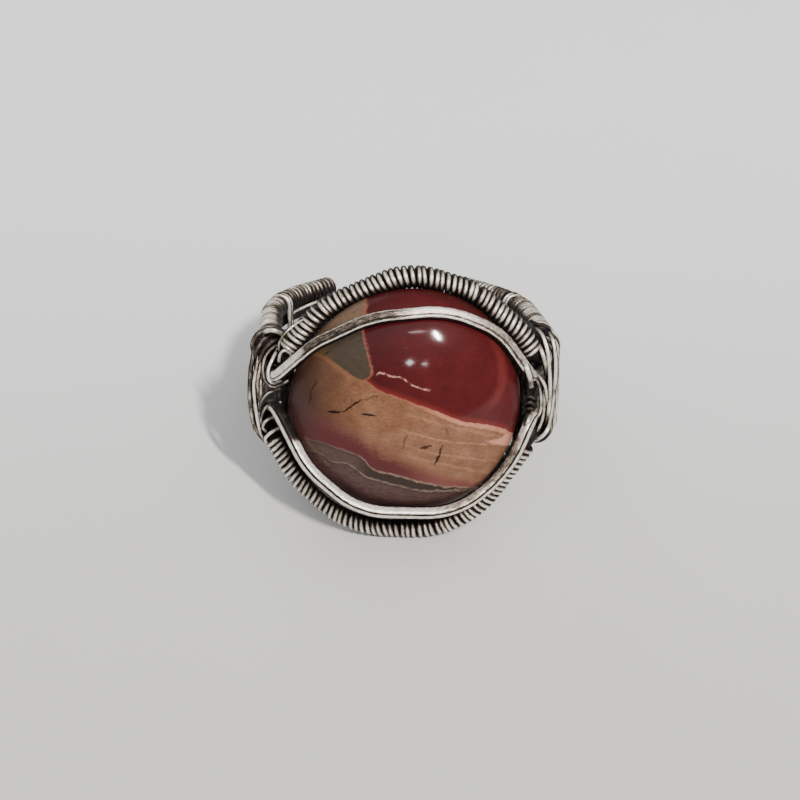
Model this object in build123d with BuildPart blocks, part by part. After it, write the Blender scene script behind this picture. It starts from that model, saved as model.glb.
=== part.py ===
from build123d import *
import os
from collections import namedtuple
from math import atan2, cos, degrees, hypot, radians, sin

# A wire-wrapped ring: an oval domed stone held between two close-wound frame wires behind its edge and two
# bare wires over its dome. All four wires run back round the finger as an open band.
# Its own frame, in millimetres: X to the wearer's right, Y from the face into the finger, Z along the finger.

# Stone
STONE_LONG = 18.5
STONE_SHORT = 16.8
STONE_TURN = 60.0
DOME = 4.2
BACK = 1.4
BACK_SHARE = 0.86
STONE_DROP = 0.36

# Wires
CORE_D = 1.0
WINDING_D = 0.4
PRONG_D = 0.9
STRAND_D = 0.5
SEAT = 0.05
BORE_GAP = 0.03

# Band
FINGER_BORE = 19.5
SHOULDER_ROOM = 1.44
SHOULDER_BEND = 1.1
PRONG_BEND = 1.2
SPREAD = 0.95
TAIL_BEND = 10.0

# Bindings and ties
BINDING_LENGTH = 2.4
BINDING_FAN = 26.0
TIE_FROM_TIP = 6.6

# Worked out from the sizes above
TURN = radians(STONE_TURN)
HALF_X = hypot(STONE_LONG * cos(TURN), STONE_SHORT * sin(TURN)) / 2
HALF_Z = hypot(STONE_LONG * sin(TURN), STONE_SHORT * cos(TURN)) / 2
CORE_R = CORE_D / 2
COIL_R = CORE_R + WINDING_D
PRONG_R = PRONG_D / 2
STRAND_R = STRAND_D / 2
REACH_X = HALF_X + COIL_R
REACH_Z = HALF_Z + COIL_R
SHOULDER_X = HALF_X + SHOULDER_ROOM
FACE_Y = COIL_R + 2 * SEAT
BAND_X = FINGER_BORE / 2 + COIL_R
REAR_Y = BACK + FINGER_BORE + COIL_R
LANE = PRONG_R + SEAT + COIL_R
PINCH_Y = FACE_Y + 1.55 * SHOULDER_BEND
WRAP_R = COIL_R + 2 * SEAT + STRAND_R

# Corners of the frame wires round the stone, seen from the front: shares of REACH_X, REACH_Z and REACH_X
Corner = namedtuple("Corner", "across up bend")
UPPER_ARCH = [
    Corner(-0.606, 0.731, 0.52),
    Corner(0.041, 1.020, 0.47),
    Corner(0.539, 0.855, 0.52),
    Corner(0.915, 0.534, 0.52),
]
LOWER_ARCH = [
    Corner(-0.846, -0.605, 0.63),
    Corner(-0.438, -1.002, 0.73),
    Corner(0.455, -1.049, 0.73),
    Corner(0.759, -0.630, 0.63),
]

# Corners of the bare wires over the dome: shares of HALF_X, of DOME with the wire, of HALF_Z and of HALF_X
Over = namedtuple("Over", "across front up bend")
UPPER_PRONG = [
    Over(-0.742, 0.435, 0.612, 0.69),
    Over(-0.264, 0.592, 0.861, 0.75),
    Over(0.365, 0.516, 0.907, 0.75),
    Over(0.804, 0.338, 0.698, 0.69),
]
LOWER_PRONG = [
    Over(-0.822, 0.632, -0.418, 0.69),
    Over(-0.388, 0.725, -0.783, 0.75),
    Over(0.417, 0.557, -0.837, 0.75),
    Over(0.896, 0.082, -0.603, 0.69),
]

# Corners of the band from the tail's tip to the shoulder: shares of BAND_X, REAR_Y, SPREAD and TAIL_BEND
Station = namedtuple("Station", "across back spread bend")
LEFT_BAND = [Station(-0.563, 0.991, 0.14, 0), Station(-1.000, 0.766, 0.37, 1.0)]
RIGHT_BAND = [
    Station(0.457, 0.991, 0.14, 0),
    Station(0.887, 0.748, 0.37, 1.1),
    Station(1.023, 0.298, 0.84, 0.8),
]

# Where each wire turns back at its two shoulders, left then right: shares of SHOULDER_X and of its height in
# the band, and for a frame wire how far from there its winding starts, a share of SHOULDER_BEND
Shoulder = namedtuple("Shoulder", "across up wound", defaults=[None])
UPPER_FRAME_SHOULDERS = [Shoulder(0.934, 1.018, 1.05), Shoulder(0.974, 1.018, 1.05)]
LOWER_FRAME_SHOULDERS = [Shoulder(1.0, 0.868, 1.45), Shoulder(1.0, 0.843, 1.45)]
UPPER_PRONG_SHOULDERS = [Shoulder(0.918, 1.64), Shoulder(0.924, 1.66)]
LOWER_PRONG_SHOULDERS = [Shoulder(0.939, 0.04), Shoulder(0.925, 0.96)]


def height(spread, lane):
    """Height of a wire's axis in the band, for a share of SPREAD: lane 0 is bare, lane 1 wound."""
    return PRONG_R + spread * SPREAD + lane * LANE


def band_side(stations, side, sign, lane):
    """Corner points and bends of one side of the band, from the tail's tip to the last before the shoulder."""
    points = [(s.across * BAND_X, s.back * REAR_Y, sign * height(s.spread, lane)) for s in stations]
    bends = [s.bend * TAIL_BEND for s in stations[1:]]
    points.append((side * SHOULDER_X, PINCH_Y, sign * height(1, lane)))
    return points, bends + [SHOULDER_BEND]


def turning_back(shoulders, y, sign, lane):
    """The left and right points where a wire turns back at its shoulders."""
    rise = sign * height(1, lane)
    return [(side * s.across * SHOULDER_X, y, s.up * rise) for side, s in zip((-1, 1), shoulders)]


def frame_route(arch, shoulders, sign):
    """Corner points and bends of a frame wire from its left tip to its right one."""
    left, left_bends = band_side(LEFT_BAND, -1, sign, 1)
    right, right_bends = band_side(RIGHT_BAND, 1, sign, 1)
    corners = [(c.across * REACH_X, FACE_Y, c.up * REACH_Z - STONE_DROP) for c in arch]
    turns = turning_back(shoulders, FACE_Y, sign, 1)
    points = left + turns[:1] + corners + turns[1:] + right[::-1]
    arch_bends = [c.bend * REACH_X for c in arch]
    bends = left_bends + [SHOULDER_BEND] + arch_bends + [SHOULDER_BEND] + right_bends[::-1]
    return points, bends


def prong_route(over, shoulders, sign):
    """Corner points and bends of a bare wire, from its left tip over the dome to its right tip."""
    left, left_bends = band_side(LEFT_BAND, -1, sign, 0)
    right, right_bends = band_side(RIGHT_BAND, 1, sign, 0)
    corners = [(c.across * HALF_X, -c.front * (DOME + PRONG_R), c.up * HALF_Z - STONE_DROP) for c in over]
    turns = turning_back(shoulders, -2 * PRONG_R, sign, 0)
    points = left + turns[:1] + corners + turns[1:] + right[::-1]
    over_bends = [c.bend * HALF_X for c in over]
    bends = left_bends + [PRONG_BEND] + over_bends + [PRONG_BEND] + right_bends[::-1]
    return points, bends


def between(a, b, distance):
    """The point at a distance from a on the way to b."""
    way = Vector(*b) - Vector(*a)
    return tuple(Vector(*a) + way.normalized() * distance)


def start_plane(path):
    """The plane square to a path at its start."""
    return Plane(origin=path @ 0, z_dir=path % 0)


# Stone: a half ellipsoid in front, a bevelled back behind
FACE = Plane(origin=(0, 0, -STONE_DROP), x_dir=(cos(TURN), 0, sin(TURN)), z_dir=(0, -1, 0))
ellipsoid = scale(Solid.make_sphere(1), by=(STONE_LONG / 2, STONE_SHORT / 2, DOME))
with BuildPart() as stone:
    with Locations(FACE.location):
        add(ellipsoid)
    split(bisect_by=FACE, keep=Keep.TOP)
    with BuildSketch(FACE):
        Ellipse(STONE_LONG / 2, STONE_SHORT / 2)
    with BuildSketch(FACE.offset(-BACK)):
        Ellipse(BACK_SHARE * STONE_LONG / 2, BACK_SHARE * STONE_SHORT / 2)
    loft()

# Frame wires: a core from tail to tail, closely wound round the stone and along the band
UPPER = frame_route(UPPER_ARCH, UPPER_FRAME_SHOULDERS, 1)
LOWER = frame_route(LOWER_ARCH, LOWER_FRAME_SHOULDERS, -1)
with BuildPart() as upper_core:
    with BuildLine():
        upper_line = FilletPolyline(*UPPER[0], radius=UPPER[1])
    with BuildSketch(start_plane(upper_line)):
        Circle(CORE_R)
    sweep()
with BuildPart() as lower_core:
    with BuildLine():
        lower_line = FilletPolyline(*LOWER[0], radius=LOWER[1])
    with BuildSketch(start_plane(lower_line)):
        Circle(CORE_R)
    sweep()

# Bare wires over the dome
with BuildPart() as upper_prong:
    route = prong_route(UPPER_PRONG, UPPER_PRONG_SHOULDERS, 1)
    with BuildLine():
        line = FilletPolyline(*route[0], radius=route[1])
    with BuildSketch(start_plane(line)):
        Circle(PRONG_R)
    sweep()
with BuildPart() as lower_prong:
    route = prong_route(LOWER_PRONG, LOWER_PRONG_SHOULDERS, -1)
    with BuildLine():
        line = FilletPolyline(*route[0], radius=route[1])
    with BuildSketch(start_plane(line)):
        Circle(PRONG_R)
    sweep()

# Windings: sleeves on the cores, six in all, that leave the bent shoulders bare under the bindings
LEFT_PINCH = len(LEFT_BAND)
windings = {}
for name, (points, bends), (start, end) in (
    ("upper", UPPER, UPPER_FRAME_SHOULDERS),
    ("lower", LOWER, LOWER_FRAME_SHOULDERS),
):
    right_pinch = len(points) - 1 - len(RIGHT_BAND)
    first, last = LEFT_PINCH + 1, right_pinch - 1
    runs = {
        f"{name}_frame_coil": (
            [between(points[first], points[first + 1], start.wound * SHOULDER_BEND)] + points[first + 1:last]
            + [between(points[last], points[last - 1], end.wound * SHOULDER_BEND)],
            bends[first:last - 1]),
        f"left_{name}_band_coil": (
            points[:LEFT_PINCH] + [between(points[LEFT_PINCH], points[LEFT_PINCH - 1], COIL_R / 2)],
            bends[:LEFT_PINCH - 1]),
        f"right_{name}_band_coil": (
            [between(points[right_pinch], points[right_pinch + 1], COIL_R / 2)] + points[right_pinch + 1:],
            bends[right_pinch:]),
    }
    for node, (corners, radii) in runs.items():
        with BuildPart() as sleeve:
            with BuildLine():
                line = FilletPolyline(*corners, radius=radii)
            with BuildSketch(start_plane(line)):
                Circle(COIL_R)
                Circle(CORE_R + BORE_GAP, mode=Mode.SUBTRACT)
            sweep()
        windings[node] = sleeve

# Bindings: fine wire wrapped round all four wires at each shoulder, fanned out round the bend
bindings = {}
for node, side, next_station in (("left_binding", -1, LEFT_BAND[-1]), ("right_binding", 1, RIGHT_BAND[-1])):
    pinch = Vector(side * SHOULDER_X, PINCH_Y, 0)
    back = (Vector(next_station.across * BAND_X, next_station.back * REAR_Y, 0) - pinch).normalized()
    across = Vector(0, 0, 1).cross(back) * side * -1
    square = Plane(origin=pinch, x_dir=across, z_dir=back)
    axis = Axis(pinch - across * (WRAP_R + STRAND_D), (0, 0, -side))
    with BuildPart() as binding:
        with BuildSketch(square) as racetrack:
            SlotCenterToCenter(2 * height(1, 1), 2 * (WRAP_R + STRAND_R), rotation=90)
            SlotCenterToCenter(2 * height(1, 1), 2 * (WRAP_R - STRAND_R), rotation=90, mode=Mode.SUBTRACT)
        extrude(racetrack.sketch, amount=BINDING_LENGTH)
        revolve(racetrack.sketch, axis=axis, revolution_arc=BINDING_FAN)
    bindings[node] = binding

# Ties: two turns of fine wire side by side round the band near each tail
ties = {}
for node, near_tip in (("left_tie", TIE_FROM_TIP), ("right_tie", upper_line.length - TIE_FROM_TIP)):
    at = upper_line.position_at(near_tip, position_mode=PositionMode.LENGTH)
    along = upper_line.tangent_at(near_tip, position_mode=PositionMode.LENGTH)
    square = Plane(origin=(at.X, at.Y, 0), x_dir=(along.Y, -along.X, 0), z_dir=(along.X, along.Y, 0))
    with BuildPart() as tie:
        with BuildLine(square) as loop:
            right_side = Line((WRAP_R, -at.Z), (WRAP_R, at.Z))
            ThreePointArc(right_side @ 1, (0, at.Z + WRAP_R), (-WRAP_R, at.Z))
            Line((-WRAP_R, at.Z), (-WRAP_R, -at.Z))
            ThreePointArc((-WRAP_R, -at.Z), (0, -at.Z - WRAP_R), right_side @ 0)
        turn = Plane(origin=loop.line @ 0, x_dir=square.z_dir, z_dir=loop.line % 0)
        with BuildSketch(turn):
            with Locations((-0.48 * STRAND_D, 0), (0.48 * STRAND_D, 0)):
                Circle(STRAND_R)
        sweep(path=loop.line)
    ties[node] = tie

# Rest pose: the ring lies back on its lower frame wire and its two tail ends, centred on the floor
pieces = {
    "stone": stone, "upper_core": upper_core, "lower_core": lower_core,
    "upper_prong": upper_prong, "lower_prong": lower_prong, **windings, **bindings, **ties,
}
tip = LOWER[0][0]
LEAN = degrees(atan2(tip[2] - lower_line.bounding_box().min.Z, tip[1] - FACE_Y))
for piece in pieces.values():
    piece.part.move(Rot(X=-LEAN))
box = Compound([piece.part for piece in pieces.values()]).bounding_box()
os.makedirs("parts", exist_ok=True)
for node, piece in pieces.items():
    piece.part.move(Pos(-box.center().X, -box.center().Y, -box.min.Z))
    piece.part.label = node
    export_step(piece.part, f"parts/{node}.step")
print(f"lean {LEAN:.3f} degrees, moved by {-box.center().X:.4f}, {-box.center().Y:.4f}, {-box.min.Z:.4f} mm")
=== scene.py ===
from math import cos, hypot, pi, radians, sin
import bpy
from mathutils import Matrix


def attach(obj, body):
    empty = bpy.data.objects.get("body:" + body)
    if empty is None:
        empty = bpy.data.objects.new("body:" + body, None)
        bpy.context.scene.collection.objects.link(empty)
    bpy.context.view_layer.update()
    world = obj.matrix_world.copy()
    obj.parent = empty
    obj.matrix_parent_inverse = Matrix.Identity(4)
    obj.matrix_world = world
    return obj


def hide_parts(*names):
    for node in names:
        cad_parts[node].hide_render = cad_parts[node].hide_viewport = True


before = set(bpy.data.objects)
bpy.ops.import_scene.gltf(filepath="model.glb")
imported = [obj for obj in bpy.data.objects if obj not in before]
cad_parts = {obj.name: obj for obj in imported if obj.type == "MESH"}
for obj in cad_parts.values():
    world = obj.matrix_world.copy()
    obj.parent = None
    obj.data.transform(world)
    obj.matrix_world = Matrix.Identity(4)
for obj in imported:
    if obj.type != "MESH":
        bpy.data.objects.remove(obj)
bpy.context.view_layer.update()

from types import SimpleNamespace

import bpy
import numpy as np
from mathutils import Vector

# All is worked out in the ring's own millimetres, X to the wearer's right, Y from the face into the finger
# and Z along it, and then laid back into the rest pose.

# Sizes of the solids, as the part has them
STONE_LONG, STONE_SHORT, STONE_TURN = 18.5, 16.8, radians(60)
DOME, BACK, BACK_SHARE, STONE_DROP = 4.2, 1.4, 0.86, 0.36
COIL_R, PRONG_R, STRAND_R = 0.9, 0.45, 0.25
SEAT, FINGER_BORE, SHOULDER_ROOM = 0.05, 19.5, 1.44
SHOULDER_BEND, PRONG_BEND, SPREAD, TAIL_BEND = 1.1, 1.2, 0.95, 10
BINDING_LENGTH, TIE_FROM_TIP = 2.4, 6.6
HALF_X = hypot(STONE_LONG * cos(STONE_TURN), STONE_SHORT * sin(STONE_TURN)) / 2
HALF_Z = hypot(STONE_LONG * sin(STONE_TURN), STONE_SHORT * cos(STONE_TURN)) / 2
REACH_X, REACH_Z = HALF_X + COIL_R, HALF_Z + COIL_R
SHOULDER_X = HALF_X + SHOULDER_ROOM
FACE_Y = COIL_R + 2 * SEAT
BAND_X, REAR_Y = FINGER_BORE / 2 + COIL_R, BACK + FINGER_BORE + COIL_R
LANE = PRONG_R + SEAT + COIL_R
PINCH_Y = FACE_Y + 1.55 * SHOULDER_BEND
WRAP_R = COIL_R + 2 * SEAT + STRAND_R

# Rest pose
LEAN = radians(22.671)
SHIFT = np.array([-0.1906, -7.5464, 11.0569])

# The photograph's camera: tilt to the ring, distance, scale at the ring, and the pixel that shows its origin
VIEW_TILT, VIEW_DISTANCE, PIXELS_PER_MM = radians(21), 150, 13.5
AIM = (403.5, 401)
IMAGE = 800
FOCAL = PIXELS_PER_MM * VIEW_DISTANCE
SIGHT = LEAN + VIEW_TILT

# Bends of the four wires, as in the part: shares of the sizes above
UPPER_ARCH = [(-0.606, 0.731, 0.52), (0.041, 1.020, 0.47), (0.539, 0.855, 0.52), (0.915, 0.534, 0.52)]
LOWER_ARCH = [(-0.846, -0.605, 0.63), (-0.438, -1.002, 0.73), (0.455, -1.049, 0.73), (0.759, -0.630, 0.63)]
UPPER_PRONG = [(-0.742, 0.435, 0.612, 0.69), (-0.264, 0.592, 0.861, 0.75), (0.365, 0.516, 0.907, 0.75),
               (0.804, 0.338, 0.698, 0.69)]
LOWER_PRONG = [(-0.822, 0.632, -0.418, 0.69), (-0.388, 0.725, -0.783, 0.75), (0.417, 0.557, -0.837, 0.75),
               (0.896, 0.082, -0.603, 0.69)]
LEFT_BAND = [(-0.563, 0.991, 0.14, 0), (-1.000, 0.766, 0.37, 1)]
RIGHT_BAND = [(0.457, 0.991, 0.14, 0), (0.887, 0.748, 0.37, 1.1), (1.023, 0.298, 0.84, 0.8)]
UPPER_FRAME_TURNS = [(0.934, 1.018, 1.05), (0.974, 1.018, 1.05)]
LOWER_FRAME_TURNS = [(1, 0.868, 1.45), (1, 0.843, 1.45)]
UPPER_PRONG_TURNS = [(0.918, 1.64), (0.924, 1.66)]
LOWER_PRONG_TURNS = [(0.939, 0.04), (0.925, 0.96)]


# Routes
def unit(v):
    """Vectors made one long."""
    v = np.asarray(v, float)
    return v / np.linalg.norm(v, axis=-1, keepdims=True)


def height(spread, lane):
    """Height of a wire's axis in the band, in lane 0 if bare and 1 if wound."""
    return PRONG_R + spread * SPREAD + lane * LANE


def route(corners, bends, shoulders, shoulder_bend, sign, lane):
    """Corners and bends of a wire from its left tip to its right tip."""
    sides = []
    for side, stations in ((-1, LEFT_BAND), (1, RIGHT_BAND)):
        points = [(a * BAND_X, b * REAR_Y, sign * height(s, lane)) for a, b, s, _ in stations]
        radii = [bend * TAIL_BEND for *_, bend in stations[1:]]
        pinch = (side * SHOULDER_X, PINCH_Y, sign * height(1, lane))
        sides.append((points + [pinch], radii + [SHOULDER_BEND]))
    (left, left_bends), (right, right_bends) = sides
    points = left + shoulders[:1] + corners + shoulders[1:] + right[::-1]
    return points, left_bends + [shoulder_bend] + bends + [shoulder_bend] + right_bends[::-1]


def frame_route(arch, shoulders, sign):
    """Route of a wound frame wire."""
    corners = [(a * REACH_X, FACE_Y, u * REACH_Z - STONE_DROP) for a, u, _ in arch]
    turns = []
    for side, (across, drawn, _) in zip((-1, 1), shoulders):
        turns.append((side * across * SHOULDER_X, FACE_Y, sign * drawn * height(1, 1)))
    return route(corners, [b * REACH_X for *_, b in arch], turns, SHOULDER_BEND, sign, 1)


def prong_route(over, shoulders, sign):
    """Route of a bare wire over the dome."""
    corners = [(a * HALF_X, -f * (DOME + PRONG_R), u * HALF_Z - STONE_DROP) for a, f, u, _ in over]
    turns = []
    for side, (across, drawn) in zip((-1, 1), shoulders):
        turns.append((side * across * SHOULDER_X, -2 * PRONG_R, sign * drawn * height(1, 0)))
    return route(corners, [b * HALF_X for *_, b in over], turns, PRONG_BEND, sign, 0)


def distances(points):
    """How far along a polyline each of its points is."""
    return np.r_[0, np.cumsum(np.linalg.norm(np.diff(points, axis=0), axis=1))]


def read_off(rows, far, at):
    """Rows of a line at distances along it, where far is the distance of each row."""
    return np.stack([np.interp(at, far, rows[:, k]) for k in range(3)], axis=-1)


def spaced(points, step):
    """A run of points at even distances along a polyline."""
    points = np.asarray(points, float)
    far = distances(points)
    return read_off(points, far, np.linspace(0, far[-1], max(2, round(far[-1] / step)) + 1))


def rounded(points, bends, step=0.1):
    """Points along a polyline whose inner corners are rounded to the bends."""
    points = np.array(points, float)
    out = [points[0]]
    for before, corner, after, bend in zip(points, points[1:], points[2:], bends):
        u, w = unit(before - corner), unit(after - corner)
        inside = np.arccos(np.clip(u @ w, -1, 1))
        centre = corner + unit(u + w) * bend / sin(inside / 2)
        start = corner + u * bend / np.tan(inside / 2) - centre
        stop = corner + w * bend / np.tan(inside / 2) - centre
        turn = pi - inside
        for t in np.linspace(0, turn, max(3, int(bend * turn / step))):
            out.append(centre + (sin(turn - t) * start + sin(t) * stop) / sin(turn))
    return spaced(out + [points[-1]], step)


def flowing(points, step=0.06, samples=24):
    """A smooth curve through given points."""
    p = np.asarray(points, float)
    p = np.vstack([2 * p[0] - p[1], p, 2 * p[-1] - p[-2]])
    t = np.linspace(0, 1, samples, endpoint=False)[:, None]
    out = []
    for a, b, c, d in zip(p, p[1:], p[2:], p[3:]):
        squared, cubed = 2 * a - 5 * b + 4 * c - d, 3 * b - a - 3 * c + d
        out.append(0.5 * (2 * b + (c - a) * t + squared * t ** 2 + cubed * t ** 3))
    return spaced(np.vstack(out + [p[-2:-1]]), step)


def seen(across, down, y):
    """The point at depth y that the camera sees at a pixel of the photograph."""
    a, b = (across - AIM[0]) / FOCAL, (AIM[1] - down) / FOCAL
    reach = VIEW_DISTANCE + y * cos(VIEW_TILT)
    z = (b * reach - y * sin(VIEW_TILT)) / (cos(VIEW_TILT) + b * sin(VIEW_TILT))
    return a * (reach - z * sin(VIEW_TILT)), y, z


def laid_back(points):
    """The ring's millimetres as metres in the rest pose."""
    x, y, z = np.asarray(points, float).T
    turned = np.stack([x, y * cos(LEAN) + z * sin(LEAN), z * cos(LEAN) - y * sin(LEAN)], axis=1)
    return (turned + SHIFT) / 1000


def rise(value, low, high):
    """0 below low, 1 above high, and smooth between."""
    t = np.clip((value - low) / (high - low), 0, 1)
    return t * t * (3 - 2 * t)


# Tubes: the rings that round off an end, as shares of the section, and how flat the end is
END_RINGS = (0.25, 0.62, 0.9)
END_SIZE, END_FLAT, END_LEAST = 0.5, 0.12, 0.35
# A way that no wire starts along
FIRST_SIDE = (0.31, 0.2, 1)


def frames(path, hint=None):
    """Unit tangents, normals and binormals along a path, led by the hint or turning little."""
    tangent = unit(np.gradient(path, axis=0))
    if hint is not None:
        normal = unit(hint - tangent * np.sum(hint * tangent, axis=1, keepdims=True))
    else:
        normal = [unit(np.cross(tangent[0], FIRST_SIDE))]
        for t in tangent[1:]:
            normal.append(unit(normal[-1] - t * (normal[-1] @ t)))
        normal = np.array(normal)
    return tangent, normal, np.cross(tangent, normal)


def sweep(path, section, hint=None):
    """A tube along a path, from its section in (normal, binormal), and what each point needs for its shine."""
    tangent, normal, binormal = frames(path, hint)
    size = np.abs(section).max() * END_SIZE

    def end_ring(end, way, share):
        """Centre of a ring near an end of the path, where way points out of the tube."""
        return end + way * size * (END_FLAT + (1 - END_FLAT) * (1 - share) ** 0.5) - way * size

    centres = [end_ring(path[0], -tangent[0], share) for share in END_RINGS] + list(path)
    centres = np.array(centres + [end_ring(path[-1], tangent[-1], share) for share in END_RINGS[::-1]])
    row = np.r_[[0] * len(END_RINGS), np.arange(len(path)), [len(path) - 1] * len(END_RINGS)]
    share = np.r_[END_RINGS, np.ones(len(path)), END_RINGS[::-1]]
    shapes = section * (END_LEAST + (1 - END_LEAST) * share)[:, None, None]
    rows, sides = shapes.shape[:2]
    to_normal = shapes[:, :, :1] * normal[row][:, None, :]
    to_binormal = shapes[:, :, 1:] * binormal[row][:, None, :]
    k, j = np.meshgrid(np.arange(rows - 1), np.arange(sides), indexing="ij")
    nxt = (j + 1) % sides
    faces = np.stack([k * sides + j, k * sides + nxt, (k + 1) * sides + nxt, (k + 1) * sides + j], axis=-1)
    faces = [tuple(face) for face in faces.reshape(-1, 4).tolist()]
    faces.append(tuple(range(sides))[::-1])
    faces.append(tuple(range((rows - 1) * sides, rows * sides)))
    return {
        "points": (centres[:, None, :] + to_normal + to_binormal).reshape(-1, 3),
        "faces": faces,
        "facing": unit(to_normal + to_binormal).reshape(-1, 3),
        "round": np.arctan2(shapes[:, :, 1], shapes[:, :, 0]).ravel(),
        "along": np.repeat(distances(centres), sides),
        "row": np.repeat(row, sides),
    }


def circle(radius, sides=10):
    """A round section that starts on the side away from the normal."""
    a = pi + 2 * pi * np.arange(sides) / sides
    return np.stack([radius * np.cos(a), radius * np.sin(a)], axis=1)


def with_shine(tube, shine, seed):
    """The tube with its points' brightness, from rubbing and painted light, and a number that sets its
    scratches apart.
    """
    return dict(tube, shine=shine, seed=float(seed))


def added(name, data):
    thing = bpy.data.objects.new(name, data)
    bpy.context.scene.collection.objects.link(thing)
    return thing


def make(name, tubes, material, replaced):
    """One piece from several tubes, with each point's brightness and place on its wire."""
    points, faces, shine, trace, start = [], [], [], [], 0
    for tube in tubes:
        points.append(tube["points"])
        faces += [tuple(i + start for i in face) for face in tube["faces"]]
        shine.append(tube["shine"])
        seeds = np.full(len(tube["points"]), tube["seed"])
        trace.append(np.stack([tube["along"], tube["round"], seeds], axis=1))
        start += len(tube["points"])
    mesh = bpy.data.meshes.new(name)
    mesh.from_pydata(laid_back(np.vstack(points)).tolist(), [], faces)
    mesh.polygons.foreach_set("use_smooth", np.ones(len(mesh.polygons), bool))
    shine, trace = np.concatenate(shine).astype(np.float32), np.vstack(trace).astype(np.float32).ravel()
    mesh.attributes.new("shine", "FLOAT", "POINT").data.foreach_set("value", shine)
    mesh.attributes.new("trace", "FLOAT_VECTOR", "POINT").data.foreach_set("vector", trace)
    mesh.materials.append(material)
    piece = added(name, mesh)
    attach(piece, "root")
    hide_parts(*replaced)


# Shader nodes
class Nodes:
    """A material and short ways to add nodes to it."""

    def __init__(self, name):
        self.material = bpy.data.materials.new(name)
        self.material.use_nodes = True
        self.tree = self.material.node_tree
        self.tree.nodes.clear()
        self.shader = self.tree.nodes.new("ShaderNodeBsdfPrincipled")
        out = self.tree.nodes.new("ShaderNodeOutputMaterial")
        self.tree.links.new(self.shader.outputs[0], out.inputs["Surface"])

    def feed(self, socket, value):
        if isinstance(value, bpy.types.NodeSocket):
            self.tree.links.new(value, socket)
        else:
            socket.default_value = value

    def add(self, kind, values=(), **settings):
        """A node of a kind, with its settings and the values of its inputs in order or by name."""
        node = self.tree.nodes.new("ShaderNode" + kind)
        for key, value in settings.items():
            setattr(node, key, value)
        for key, value in (values.items() if isinstance(values, dict) else enumerate(values)):
            self.feed(node.inputs[key], value)
        return node

    def math(self, operation, *values):
        return self.add("Math", values, operation=operation).outputs[0]

    def vector(self, operation, *values):
        node = self.add("VectorMath", values, operation=operation)
        return node.outputs["Value" if operation == "DOT_PRODUCT" else "Vector"]

    def plus(self, a, b):
        return self.math("ADD", a, b)

    def minus(self, a, b):
        return self.math("SUBTRACT", a, b)

    def times(self, a, b):
        return self.math("MULTIPLY", a, b)

    def over(self, a, b):
        return self.math("DIVIDE", a, b)

    def off(self, a, b):
        return self.math("ABSOLUTE", self.minus(a, b))

    def radius(self, a, b):
        """Length of the two sides of a right angle."""
        return self.math("SQRT", self.plus(self.math("POWER", a, 2), self.math("POWER", b, 2)))

    def step(self, value, low, high, to_low=0, to_high=1):
        """to_low up to low, to_high from high, and smooth between."""
        values = {"Value": value, "From Min": low, "From Max": high, "To Min": to_low, "To Max": to_high}
        return self.add("MapRange", values, interpolation_type="SMOOTHSTEP").outputs[0]

    def mix(self, share, a, b):
        """Colour a turned into colour b by a share."""
        node = self.add("Mix", data_type="RGBA")
        for socket, value in ((node.inputs[0], share), (node.inputs[6], a), (node.inputs[7], b)):
            self.feed(socket, value)
        return node.outputs[2]

    def noise(self, vector, scale, detail, rough):
        values = {"Vector": vector, "Scale": scale, "Detail": detail, "Roughness": rough}
        return self.add("TexNoise", values).outputs[0]

    def curve(self, value, points, low, high):
        """A smooth curve through points, all between low and high."""
        node = self.add("FloatCurve", {"Value": self.over(self.minus(value, low), high - low)})
        curve = node.mapping.curves[0]
        spots = [((x - low) / (high - low), (y - low) / (high - low)) for x, y in points]
        curve.points[0].location, curve.points[1].location = spots[0], spots[-1]
        for spot in spots[1:-1]:
            curve.points.new(*spot)
        node.mapping.update()
        return self.plus(self.times(node.outputs[0], high - low), low)

    def ramp(self, value, stops):
        node = self.add("ValToRGB", [value])
        elements = node.color_ramp.elements
        while len(elements) < len(stops):
            elements.new(0.5)
        for element, (position, colour) in zip(elements, stops):
            element.position, element.color = position, colour
        return node.outputs[0]

    def bump(self, strength, distance, height):
        node = self.add("Bump", {"Strength": strength, "Distance": distance, "Height": height})
        self.feed(self.shader.inputs["Normal"], node.outputs[0])


def ink(red, green, blue):
    """A colour as the screen shows it, as the shader wants it."""
    shown = (red / 255, green / 255, blue / 255)
    return tuple(c / 12.92 if c <= 0.04045 else ((c + 0.055) / 1.055) ** 2.4 for c in shown) + (1,)


# Silver: its shine, from rubbing and painted light, and the colour it has then
SILVER_TONES = [(0, ink(12, 8, 7)), (0.26, ink(40, 31, 27)), (0.5, ink(116, 103, 90)),
                (0.74, ink(226, 214, 198)), (0.95, ink(255, 252, 245))]
SCRATCH_STRETCH = (1.3, 5, 7)
CORE_SHINE = 0.16


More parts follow.
